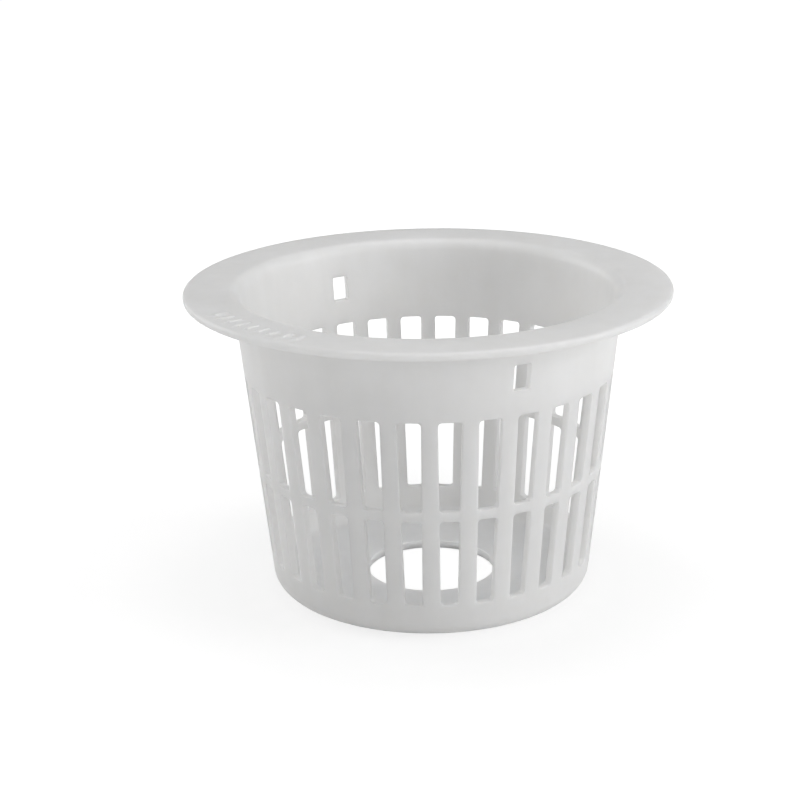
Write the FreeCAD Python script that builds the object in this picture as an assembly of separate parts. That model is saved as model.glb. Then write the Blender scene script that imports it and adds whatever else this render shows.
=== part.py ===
import FreeCAD, Part
import math
import os

# A hydroponic net pot: a tapered slotted cup with a wide flange, moulded in one piece.
# Lengths are millimetres and angles are degrees. The origin is the centre of the face that the pot
# stands on and +Z is up. Angles are measured from the front, -Y, towards +X.

# Cup
pot_height = 51.4
body_top_radius = 31.95  # outside, level with the flange's underside
body_base_radius = 26.65  # outside, where the wall's slope meets the plane of the base
wall_thickness = 1.3
floor_thickness = 1.4
base_edge_rounding = 2.9
drain_hole_radius = 10.8

# Flange
flange_radius = 40.0
flange_thickness = 1.3
mouth_rounding = 2.0
rim_rounding = 0.55

# Two rows of upright slots
slot_count = 30
rib_width_top = 2.6  # solid wall between two slots, at the top of the upper row
rib_width_bottom = 2.9  # and at the bottom of the lower row
lower_band_height = 5.9  # from the base to the lower row
lower_slot_height = 14.8
middle_band_height = 1.6
upper_slot_height = 15.2
slot_corner_rounding = 0.6

# Small windows in the plain band under the flange
front_window_angle = 27.0
rear_window_angle = 211.0
window_width = 2.9
window_height = 4.2
window_corner_rounding = 0.3

# Row of plain raised bars on top of the flange
bar_count = 9
bar_row_angle = -47.0  # the middle of the row
bar_spacing = 2.4  # along the row
bar_width = 0.7
bar_length = 2.2
bar_raise = 0.2

# Reach of the cutting blocks past both faces of the wall, and of the bars' roots into the flange
cut_overrun = 1.0
bar_sink = 0.3

# Sizes that follow
underside_height = pot_height - flange_thickness
wall_slope = (body_top_radius - body_base_radius) / underside_height
wall_across = wall_thickness * math.hypot(1.0, wall_slope)  # the wall measured level
lower_row_bottom = lower_band_height
lower_row_top = lower_row_bottom + lower_slot_height
upper_row_bottom = lower_row_top + middle_band_height
upper_row_top = upper_row_bottom + upper_slot_height
window_middle = (upper_row_top + underside_height) / 2

Z_AXIS = FreeCAD.Vector(0, 0, 1)
ORIGIN = FreeCAD.Vector(0, 0, 0)


def outer_radius(height):
    """Radius of the wall's outside at a height."""
    return body_base_radius + wall_slope * height


def inner_radius(height):
    """Radius of the wall's inside at a height."""
    return outer_radius(height) - wall_across


def rib_width(height):
    """Width of the solid wall between two slots at a height."""
    share = (height - lower_row_bottom) / (upper_row_top - lower_row_bottom)
    return rib_width_bottom + (rib_width_top - rib_width_bottom) * share


def slot_width(height):
    """Width of a slot at a height: what the ribs leave of the wall's outside."""
    return 2 * math.pi * outer_radius(height) / slot_count - rib_width(height)


def rounded_face(corners):
    """A face in the XZ plane from corners (x, z, rounding). A rounding of 0 leaves a corner sharp."""
    points = [FreeCAD.Vector(x, 0, z) for x, z, rounding in corners]
    edges = []
    ends = []
    for index, corner in enumerate(points):
        rounding = corners[index][2]
        to_before = (points[index - 1] - corner).normalize()
        to_after = (points[(index + 1) % len(points)] - corner).normalize()
        half_angle = to_before.getAngle(to_after) / 2
        setback = rounding / math.tan(half_angle)
        start = corner + to_before * setback
        end = corner + to_after * setback
        if rounding > 0:
            inward = (to_before + to_after).normalize()
            middle = corner + inward * (rounding / math.sin(half_angle) - rounding)
            edges.append(Part.Arc(start, middle, end).toShape())
        ends.append((start, end))
    for index, (start, end) in enumerate(ends):
        edges.append(Part.LineSegment(ends[index - 1][1], start).toShape())
    return Part.Face(Part.Wire(Part.__sortEdges__(edges)))


def plain_pot():
    """The cup and flange without their openings, turned from half a section."""
    root_rounding = max(mouth_rounding - wall_thickness, 0)
    floor_rounding = max(base_edge_rounding - wall_thickness, 0)
    half_section = [
        (drain_hole_radius, 0, 0),
        (body_base_radius, 0, base_edge_rounding),
        (body_top_radius, underside_height, root_rounding),
        (flange_radius, underside_height, rim_rounding),
        (flange_radius, pot_height, rim_rounding),
        (inner_radius(pot_height), pot_height, mouth_rounding),
        (inner_radius(floor_thickness), floor_thickness, floor_rounding),
        (drain_hole_radius, floor_thickness, 0),
    ]
    return rounded_face(half_section).revolve(ORIGIN, Z_AXIS, 360)


def wall_cutter(bottom, top, bottom_width, top_width, rounding):
    """A block that cuts one opening with rounded corners through the front of the wall."""
    outline = rounded_face([
        (-bottom_width / 2, bottom, rounding),
        (bottom_width / 2, bottom, rounding),
        (top_width / 2, top, rounding),
        (-top_width / 2, top, rounding),
    ])
    start = inner_radius(bottom) - cut_overrun
    reach = outer_radius(top) + cut_overrun - start
    outline.translate(FreeCAD.Vector(0, -start, 0))
    return outline.extrude(FreeCAD.Vector(0, -reach, 0))


def turned(shape, angle):
    """A copy of a shape turned about the pot's axis."""
    copy = shape.copy()
    copy.rotate(ORIGIN, Z_AXIS, angle)
    return copy


def slot_cutters():
    """Both rows of slots, with a rib at the very front."""
    pitch = 360 / slot_count
    cutters = []
    for bottom, top in [(lower_row_bottom, lower_row_top), (upper_row_bottom, upper_row_top)]:
        slot = wall_cutter(bottom, top, slot_width(bottom), slot_width(top), slot_corner_rounding)
        for number in range(slot_count):
            cutters.append(turned(slot, (number + 0.5) * pitch))
    return cutters


def window_cutters():
    """The small windows, half way up the plain band."""
    bottom = window_middle - window_height / 2
    top = window_middle + window_height / 2
    window = wall_cutter(bottom, top, window_width, window_width, window_corner_rounding)
    return [turned(window, angle) for angle in (front_window_angle, rear_window_angle)]


def raised_bars():
    """A row of short plain bars along the middle of the flange's flat top."""
    mouth_edge_radius = inner_radius(pot_height) + mouth_rounding
    row_radius = (mouth_edge_radius + flange_radius) / 2
    bar = Part.makeBox(bar_width, bar_length, bar_sink + bar_raise)
    bar.translate(FreeCAD.Vector(-bar_width / 2, -row_radius - bar_length / 2, pot_height - bar_sink))
    step = math.degrees(bar_spacing / row_radius)
    return [turned(bar, bar_row_angle + (number - (bar_count - 1) / 2) * step)
            for number in range(bar_count)]


def net_pot():
    """The whole moulding."""
    pot = plain_pot().cut(slot_cutters() + window_cutters())
    return pot.fuse(raised_bars()).Solids[0]


os.makedirs("parts", exist_ok=True)
net_pot().exportStep("parts/net_pot.step")
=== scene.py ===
import bpy
import math
from mathutils import Matrix, Vector


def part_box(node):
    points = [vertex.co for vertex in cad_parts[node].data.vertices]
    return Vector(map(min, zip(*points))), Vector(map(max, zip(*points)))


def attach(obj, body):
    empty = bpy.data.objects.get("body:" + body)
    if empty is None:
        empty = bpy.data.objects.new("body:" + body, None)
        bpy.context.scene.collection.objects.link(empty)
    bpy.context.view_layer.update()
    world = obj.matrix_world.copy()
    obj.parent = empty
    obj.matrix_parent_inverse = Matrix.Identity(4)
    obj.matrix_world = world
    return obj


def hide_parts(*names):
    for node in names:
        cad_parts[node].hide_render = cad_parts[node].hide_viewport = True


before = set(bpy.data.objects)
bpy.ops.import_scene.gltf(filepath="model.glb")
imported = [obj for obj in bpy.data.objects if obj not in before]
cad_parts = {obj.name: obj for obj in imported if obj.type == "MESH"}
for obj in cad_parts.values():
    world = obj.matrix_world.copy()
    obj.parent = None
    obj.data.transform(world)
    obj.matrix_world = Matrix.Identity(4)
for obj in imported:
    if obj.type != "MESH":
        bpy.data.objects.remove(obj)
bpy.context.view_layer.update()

# A milky white net pot on a pale floor, under soft studio light. Metres and degrees, with sizes in
# millimetres times MM. The pot's angles are measured from its front, -Y, towards +X.
MM = 0.001

# The moulding's own sizes
pot_low, pot_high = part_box("net_pot")
BAR_RAISE = 0.2 * MM
POT_HEIGHT = pot_high.z - pot_low.z - BAR_RAISE
FLANGE_RADIUS = pot_high.x
FLANGE_THICKNESS = 1.3 * MM
RIM_ROUNDING = 0.55 * MM
MOUTH_ROUNDING = 2.0 * MM
WALL = 1.3 * MM
FLOOR_THICKNESS = 1.4 * MM
BODY_TOP_RADIUS = 31.95 * MM
BODY_BASE_RADIUS = 26.65 * MM
BASE_EDGE_ROUNDING = 2.9 * MM
DRAIN_HOLE_RADIUS = 10.8 * MM
DRAIN_EDGE_ROUNDING = 0.15 * MM

SLOT_COUNT = 30
RIB_WIDTH_TOP = 2.6 * MM
RIB_WIDTH_BOTTOM = 2.9 * MM
LOWER_ROW = (5.9 * MM, 20.7 * MM)
UPPER_ROW = (22.3 * MM, 37.5 * MM)
SLOT_CORNER_ROUNDING = 0.6 * MM

WINDOW_ANGLES = (27.0, 211.0)
WINDOW_WIDTH = 2.9 * MM
WINDOW_HEIGHT = 4.2 * MM
WINDOW_CORNER_ROUNDING = 0.3 * MM

BAR_COUNT = 9
BAR_ROW_ANGLE = -47.0
BAR_SPACING = 2.4 * MM
BAR_WIDTH = 0.7 * MM
BAR_LENGTH = 2.2 * MM
BAR_SINK = 0.3 * MM
BAR_EDGE_ROUNDING = 0.08 * MM

OPENING_EDGE_ROUNDING = 0.15 * MM
CUT_OVERRUN = 1.0 * MM

# How finely round shapes are divided
SECTOR_STEPS = 6
LONGEST_RUN = 3.0 * MM
ARC_STEP = 12.0
SHARP_ANGLE = math.radians(35)
END_ANGLE_SLACK = 1e-5
MERGE_DISTANCE = 0.005 * MM

# The plastic: how many times its patterns repeat in a metre, and how much each one counts
GRAIN_SCALE = 900.0
CLOUD_SCALE = 110.0
STREAK_SCALE = 320.0
STREAK_STRETCH = 0.12
STREAK_BUMP = 0.5
BUMP_STRENGTH = 0.2
BUMP_DEPTH = 0.1 * MM
DARKER_MILK = (0.72, 0.715, 0.70, 1)
LIGHTER_MILK = (0.86, 0.86, 0.86, 1)
CLOUD_SHARE = 0.65
STREAK_SHARE = 0.35
ROUGHNESS = 0.36
CLOUD_ROUGHNESS = 0.12
GRAIN_ROUGHNESS = 0.08
LIGHT_DEPTH = 6.0 * MM
LIGHT_DEPTH_COLOURS = (1.0, 0.97, 0.92)

# The studio. The floor glows less near the pot, which keeps its real shadow and also paints a soft
# shade round its foot.
WHITE = (1, 1, 1, 1)
AMBIENT = 0.15
FLOOR_GREY = 0.85
FLOOR_DIMMING = 0.55
FLOOR_GLOW_NEAR = 0.78
FLOOR_GLOW_FAR = 0.95
# Painted shade: inside this distance from the pot the floor glows less, so it is greyer there under
# any light.
PAINTED_SHADE_RADIUS = 0.12
FLOOR_RADIUS = 2.0
FLOOR_GAP = 0.1 * MM
LAMP_DISTANCE = 0.8
LAMP_SIZE = 0.4
LAMPS = {
    # Name: angle round the pot (0 is its right, -90 its front), angle up, watts
    "key": (-10, 20, 2.6),
    "front": (-90, 20, 1.3),
    "back": (150, 20, 1.8),
    "overhead": (0, 89, 2.4),
}

# The camera: place in metres, angles in radians, lens and sensor in millimetres
CAMERA_PLACE = (0, -0.300, 0.1302)
CAMERA_TURN = 0.0162
CAMERA_TILT = 0.3185
CAMERA_ROLL = -0.0183
CAMERA_LENS = 84.98
CAMERA_SENSOR = 36
CAMERA_CLIP_START = 0.01

UNDERSIDE = POT_HEIGHT - FLANGE_THICKNESS
WALL_SLOPE = (BODY_TOP_RADIUS - BODY_BASE_RADIUS) / UNDERSIDE
WALL_ACROSS = WALL * math.hypot(1, WALL_SLOPE)
SECTOR = math.radians(360 / SLOT_COUNT)
CENTRE = (0, 0, 0)


def outer_radius(height):
    """Radius of the wall's outside at a height."""
    return BODY_BASE_RADIUS + WALL_SLOPE * height


def inner_radius(height):
    """Radius of the wall's inside at a height."""
    return outer_radius(height) - WALL_ACROSS


def slot_width(height):
    """Width of a slot at a height: what the ribs leave of the wall's outside."""
    share = (height - LOWER_ROW[0]) / (UPPER_ROW[1] - LOWER_ROW[0])
    rib_width = RIB_WIDTH_BOTTOM + (RIB_WIDTH_TOP - RIB_WIDTH_BOTTOM) * share
    return 2 * math.pi * outer_radius(height) / SLOT_COUNT - rib_width


# ---- Modelling tools ----

def deselect_all():
    bpy.ops.object.select_all(action='DESELECT')


def make_active(piece):
    """Selects one object alone and makes it the active one."""
    deselect_all()
    piece.select_set(True)
    bpy.context.view_layer.objects.active = piece


def edit(piece, mode='VERT'):
    """Starts editing a piece, with all of it selected."""
    make_active(piece)
    bpy.ops.object.mode_set(mode='EDIT')
    bpy.ops.mesh.select_mode(type=mode)
    bpy.ops.mesh.select_all(action='SELECT')


def stop_editing():
    bpy.ops.object.mode_set(mode='OBJECT')


def flat_outline(name, points, place):
    """A piece that is one flat face through points, each made a place in space by a function."""
    mesh = bpy.data.meshes.new(name)
    mesh.from_pydata([place(point) for point in points], [], [range(len(points))])
    piece = bpy.data.objects.new(name, mesh)
    bpy.context.scene.collection.objects.link(piece)
    return piece


def rounded_outline(corners, longest_run=None):
    """Points round a closed outline of corners (x, z, rounding), with arcs at the corners.
    Long straight runs are divided where a longest run is given."""
    arcs = []
    for index, (x, z, rounding) in enumerate(corners):
        corner = Vector((x, z))
        to_before = (Vector(corners[index - 1][:2]) - corner).normalized()
        to_after = (Vector(corners[(index + 1) % len(corners)][:2]) - corner).normalized()
        half_angle = to_before.angle(to_after) / 2
        centre = corner + (to_before + to_after).normalized() * (rounding / math.sin(half_angle))
        bend = math.pi - 2 * half_angle
        count = max(2, round(math.degrees(bend) / ARC_STEP))
        spoke = (corner + to_before * (rounding / math.tan(half_angle))) - centre
        side = 1 if to_before.x * to_after.y - to_before.y * to_after.x < 0 else -1
        steps = [side * bend * number / count for number in range(count + 1)]
        arcs.append([centre + Matrix.Rotation(step, 2) @ spoke for step in steps])
    points = []
    for index, arc in enumerate(arcs):
        points += arc
        run = arcs[(index + 1) % len(arcs)][0] - arc[-1]
        pieces = math.ceil(run.length / longest_run) if longest_run else 1
        points += [arc[-1] + run * number / pieces for number in range(1, pieces)]
    return points


def combine(piece, other, operation):
    """Cuts one piece by another, or joins them into one skin, and drops the other."""
    modifier = piece.modifiers.new("combine", 'BOOLEAN')
    modifier.object = other
    modifier.operation = operation
    modifier.solver = 'EXACT'
    make_active(piece)
    bpy.ops.object.modifier_apply(modifier=modifier.name)
    bpy.data.objects.remove(other)


# ---- The net pot ----

def pot_sector():
    """The share of the cup and flange that holds one slot of each row, turned from its section.
    It is closed at both ends, and its middle is at the front."""
    section = rounded_outline([
        (DRAIN_HOLE_RADIUS, 0, DRAIN_EDGE_ROUNDING),
        (BODY_BASE_RADIUS, 0, BASE_EDGE_ROUNDING),
        (BODY_TOP_RADIUS, UNDERSIDE, MOUTH_ROUNDING - WALL),
        (FLANGE_RADIUS, UNDERSIDE, RIM_ROUNDING),
        (FLANGE_RADIUS, POT_HEIGHT, RIM_ROUNDING),
        (inner_radius(POT_HEIGHT), POT_HEIGHT, MOUTH_ROUNDING),
        (inner_radius(FLOOR_THICKNESS), FLOOR_THICKNESS, BASE_EDGE_ROUNDING - WALL),
        (DRAIN_HOLE_RADIUS, FLOOR_THICKNESS, DRAIN_EDGE_ROUNDING),
    ], LONGEST_RUN)
    sector = flat_outline("net_pot_moulding", section, lambda point: (0, -point.x, point.y))
    edit(sector)
    bpy.ops.transform.rotate(value=-SECTOR / 2, orient_axis='Z', center_override=CENTRE)
    bpy.ops.mesh.spin(steps=SECTOR_STEPS, angle=SECTOR, center=CENTRE, axis=(0, 0, 1))
    stop_editing()
    return sector


def wall_cutter(bottom, top, bottom_width, top_width, rounding):
    """A block that cuts one opening with rounded corners through the front of the wall."""
    outline = rounded_outline([
        (-bottom_width / 2, bottom, rounding),
        (bottom_width / 2, bottom, rounding),
        (top_width / 2, top, rounding),
        (-top_width / 2, top, rounding),
    ])
    start = inner_radius(bottom) - CUT_OVERRUN
    reach = outer_radius(top) + CUT_OVERRUN - start
    cutter = flat_outline("wall_cutter", outline, lambda point: (point.x, -start, point.y))
    edit(cutter, 'FACE')
    bpy.ops.mesh.extrude_region_move(TRANSFORM_OT_translate={"value": (0, -reach, 0)})
    bpy.ops.mesh.select_all(action='SELECT')
    bpy.ops.mesh.normals_make_consistent(inside=False)
    stop_editing()
    return cutter


def cut_slots(sector):
    """Cuts one slot of each row through the middle of the sector."""
    for bottom, top in (LOWER_ROW, UPPER_ROW):
        widths = slot_width(bottom), slot_width(top)
        combine(sector, wall_cutter(bottom, top, *widths, SLOT_CORNER_ROUNDING), 'DIFFERENCE')


def repeat_round(sector):
    """Opens the sector's two ends and copies it all the way round, which closes the pot."""
    edit(sector, 'FACE')
    bpy.ops.mesh.select_all(action='DESELECT')
    stop_editing()
    for face in sector.data.polygons:
        corners = [sector.data.vertices[index].co for index in face.vertices]
        angles = [math.atan2(corner.x, -corner.y) for corner in corners]
        face.select = all(abs(abs(angle) - SECTOR / 2) < END_ANGLE_SLACK for angle in angles)
    bpy.ops.object.mode_set(mode='EDIT')
    bpy.ops.mesh.delete(type='ONLY_FACE')
    bpy.ops.mesh.select_all(action='SELECT')
    bpy.ops.transform.rotate(value=-SECTOR / 2, orient_axis='Z', center_override=CENTRE)
    bpy.ops.mesh.spin(steps=SLOT_COUNT, angle=2 * math.pi, center=CENTRE, axis=(0, 0, 1), dupli=True)
    bpy.ops.mesh.select_all(action='SELECT')
    bpy.ops.mesh.remove_doubles(threshold=MERGE_DISTANCE)
    bpy.ops.mesh.normals_make_consistent(inside=False)
    stop_editing()


def turn(piece, angle):
    """Turns a piece's mesh about the pot's axis."""
    edit(piece)
    bpy.ops.transform.rotate(value=-math.radians(angle), orient_axis='Z', center_override=CENTRE)
    stop_editing()


def cut_windows(pot):
    """Cuts the two small windows half way up the plain band."""
    middle = (UPPER_ROW[1] + UNDERSIDE) / 2
    bottom = middle - WINDOW_HEIGHT / 2
    for angle in WINDOW_ANGLES:
        cutter = wall_cutter(bottom, bottom + WINDOW_HEIGHT, WINDOW_WIDTH, WINDOW_WIDTH,
                             WINDOW_CORNER_ROUNDING)
        turn(cutter, angle)
        combine(pot, cutter, 'DIFFERENCE')


def round_opening_edges(pot):
    """Rounds the edges of the slots and windows, the only sharp ones left."""
    edit(pot, 'EDGE')
    bpy.ops.mesh.select_all(action='DESELECT')
    bpy.ops.mesh.edges_select_sharp(sharpness=SHARP_ANGLE)
    bpy.ops.mesh.bevel(offset=OPENING_EDGE_ROUNDING, segments=2, clamp_overlap=True)
    stop_editing()


def add_raised_bars(pot):
    """Adds the row of short plain bars on the flange's flat top."""
    mouth_edge = inner_radius(POT_HEIGHT) + MOUTH_ROUNDING
    row_radius = (mouth_edge + FLANGE_RADIUS) / 2
    step = math.degrees(BAR_SPACING / row_radius)
    height = BAR_SINK + BAR_RAISE
    middle = POT_HEIGHT - BAR_SINK + height / 2
    for number in range(BAR_COUNT):
        bpy.ops.mesh.primitive_cube_add(size=1, location=(0, -row_radius, middle))
        bar = bpy.context.active_object
        bar.scale = (BAR_WIDTH, BAR_LENGTH, height)
        make_active(bar)
        bpy.ops.object.transform_apply(location=True, rotation=True, scale=True)
        edit(bar, 'EDGE')
        bpy.ops.mesh.bevel(offset=BAR_EDGE_ROUNDING, segments=2)
        stop_editing()
        turn(bar, BAR_ROW_ANGLE + (number - (BAR_COUNT - 1) / 2) * step)
        combine(pot, bar, 'UNION')


def net_pot():
    """The whole moulding, which stands for the CAD node of the same shape."""
    pot = pot_sector()
    cut_slots(pot)
    repeat_round(pot)
    cut_windows(pot)
    round_opening_edges(pot)
    add_raised_bars(pot)
    make_active(pot)
    bpy.ops.object.shade_smooth()
    return pot


# ---- Materials ----

class Value:
    """A shader socket that can be used in a Python expression, which adds the Math nodes."""

    def __init__(self, nodes, socket):
        self.nodes = nodes
        self.socket = socket

    def maths(self, operation, first, second):
        return self.nodes.add('ShaderNodeMath', {"operation": operation}, {0: first, 1: second})

    def __add__(self, other):
        return self.maths('ADD', self, other)

    def __radd__(self, other):
        return self.maths('ADD', other, self)

    def __rsub__(self, other):
        return self.maths('SUBTRACT', other, self)

    def __mul__(self, other):
        return self.maths('MULTIPLY', self, other)

    def __rmul__(self, other):
        return self.maths('MULTIPLY', other, self)


class Shader:
    """A material's or world's nodes, added one at a time."""

    def __init__(self, owner):
        owner.use_nodes = True
        self.tree = owner.node_tree
        self.tree.nodes.clear()

    def add(self, kind, settings=None, inputs=None, output=0):
        """Adds a node: its settings first, then the values or links of its sockets."""
        node = self.tree.nodes.new(kind)
        for name, setting in (settings or {}).items():
            setattr(node, name, setting)
        for name, value in (inputs or {}).items():
            if isinstance(value, Value):
                self.tree.links.new(value.socket, node.inputs[name])
            else:
                node.inputs[name].default_value = value
        return Value(self, node.outputs[output]) if node.outputs else None


def moulded_plastic():
    """Milky white polypropylene with a satin moulded skin."""
    material = bpy.data.materials.new("moulded_plastic")
    nodes = Shader(material)
    place = nodes.add('ShaderNodeTexCoord', output="Object")
    grain = nodes.add('ShaderNodeTexNoise', {}, {
        "Vector": place, "Scale": GRAIN_SCALE, "Detail": 4.0})
    clouds = nodes.add('ShaderNodeTexNoise', {}, {
        "Vector": place, "Scale": CLOUD_SCALE, "Detail": 3.0})
    tall = nodes.add('ShaderNodeMapping', {}, {
        "Vector": place, "Scale": (1, 1, STREAK_STRETCH)})
    streaks = nodes.add('ShaderNodeTexNoise', {}, {
        "Vector": tall, "Scale": STREAK_SCALE, "Detail": 2.0})
    bump = nodes.add('ShaderNodeBump', {}, {
        "Height": grain + STREAK_BUMP * streaks, "Strength": BUMP_STRENGTH, "Distance": BUMP_DEPTH})
    # The Mix node's colour sockets have names that it uses more than once, so they are numbered.
    colour = nodes.add('ShaderNodeMix', {"data_type": 'RGBA'}, {
        "Factor": CLOUD_SHARE * clouds + STREAK_SHARE * streaks, 6: DARKER_MILK, 7: LIGHTER_MILK},
        output=2)
    roughness = ROUGHNESS + CLOUD_ROUGHNESS * clouds + GRAIN_ROUGHNESS * grain
    surface = nodes.add('ShaderNodeBsdfPrincipled', {}, {
        "Base Color": colour,
        "Roughness": roughness,
        "Normal": bump,
        "Subsurface Weight": 1.0,
        "Subsurface Radius": LIGHT_DEPTH_COLOURS,
        "Subsurface Scale": LIGHT_DEPTH})
    nodes.add('ShaderNodeOutputMaterial', {}, {"Surface": surface})
    return material


def pale_floor():
    """A floor that looks white to the camera and keeps the pot's soft shadow, with painted shade
    round the pot where its glow is dimmed.
    """
    material = bpy.data.materials.new("floor")
    nodes = Shader(material)
    camera_ray = nodes.add('ShaderNodeLightPath', output="Is Camera Ray")
    glossy_ray = nodes.add('ShaderNodeLightPath', output="Is Glossy Ray")
    through_ray = nodes.add('ShaderNodeLightPath', output="Is Transmission Ray")
    seen = camera_ray + glossy_ray + through_ray
    diffuse = nodes.add('ShaderNodeBsdfDiffuse', {}, {"Color": FLOOR_GREY - FLOOR_DIMMING * seen})
    place = nodes.add('ShaderNodeTexCoord', output="Object")
    away = nodes.add('ShaderNodeVectorMath', {"operation": 'LENGTH'}, {0: place}, output="Value")
    # Painted shade: the glow is dimmer near the pot, so the floor there is greyer under any light.
    strength = nodes.add('ShaderNodeMapRange', {}, {
        "Value": away, "From Min": PAINTED_SHADE_RADIUS / 2, "From Max": PAINTED_SHADE_RADIUS,
        "To Min": FLOOR_GLOW_NEAR, "To Max": FLOOR_GLOW_FAR})
    glow = nodes.add('ShaderNodeEmission', {}, {"Color": WHITE, "Strength": strength * seen})
    both = nodes.add('ShaderNodeAddShader', {}, {0: diffuse, 1: glow})
    nodes.add('ShaderNodeOutputMaterial', {}, {"Surface": both})
    return material


# ---- Studio ----

def floor():
    bpy.ops.mesh.primitive_circle_add(vertices=64, radius=FLOOR_RADIUS, fill_type='NGON',
                                      location=(0, 0, -FLOOR_GAP))
    piece = bpy.context.active_object
    piece.name = "floor"
    piece.data.materials.append(pale_floor())


def studio_world():
    """Even soft light all round, and white where the camera sees past the floor."""
    world = bpy.data.worlds.new("studio")
    bpy.context.scene.world = world
    nodes = Shader(world)
    camera_ray = nodes.add('ShaderNodeLightPath', output="Is Camera Ray")
    light = AMBIENT + (1 - AMBIENT) * camera_ray
    sky = nodes.add('ShaderNodeBackground', {}, {"Color": WHITE, "Strength": light})
    nodes.add('ShaderNodeOutputWorld', {}, {"Surface": sky})


def soft_lamp(name, azimuth, elevation, watts):
    """A square lamp that faces the pot, at an angle round it and an angle up, in degrees."""
    bearing = math.radians(azimuth)
    rise = math.radians(elevation)
    reach = math.cos(rise)
    towards = Vector((math.cos(bearing) * reach, math.sin(bearing) * reach, math.sin(rise)))
    data = bpy.data.lights.new(name, 'AREA')
    data.size = LAMP_SIZE
    data.energy = watts
    lamp = bpy.data.objects.new(name, data)
    lamp.location = LAMP_DISTANCE * towards
    lamp.rotation_euler = towards.to_track_quat('Z', 'Y').to_euler()
    bpy.context.scene.collection.objects.link(lamp)


def camera():
    """Looks slightly down on the pot from its front."""
    data = bpy.data.cameras.new("camera")
    data.lens = CAMERA_LENS
    data.sensor_width = CAMERA_SENSOR
    data.clip_start = CAMERA_CLIP_START
    piece = bpy.data.objects.new("camera", data)
    piece.matrix_world = (Matrix.Translation(CAMERA_PLACE)
                          @ Matrix.Rotation(CAMERA_TURN, 4, 'Z')
                          @ Matrix.Rotation(math.pi / 2 - CAMERA_TILT, 4, 'X')
                          @ Matrix.Rotation(CAMERA_ROLL, 4, 'Z'))
    bpy.context.scene.collection.objects.link(piece)
    bpy.context.scene.camera = piece


# ---- The scene ----

deselect_all()
pot = net_pot()
pot.data.materials.clear()
pot.data.materials.append(moulded_plastic())
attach(pot, "root")
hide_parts("net_pot")

floor()
studio_world()
for lamp_name, (azimuth, elevation, watts) in LAMPS.items():
    soft_lamp(lamp_name, azimuth, elevation, watts)
camera()
bpy.context.scene.view_settings.view_transform = 'Standard'
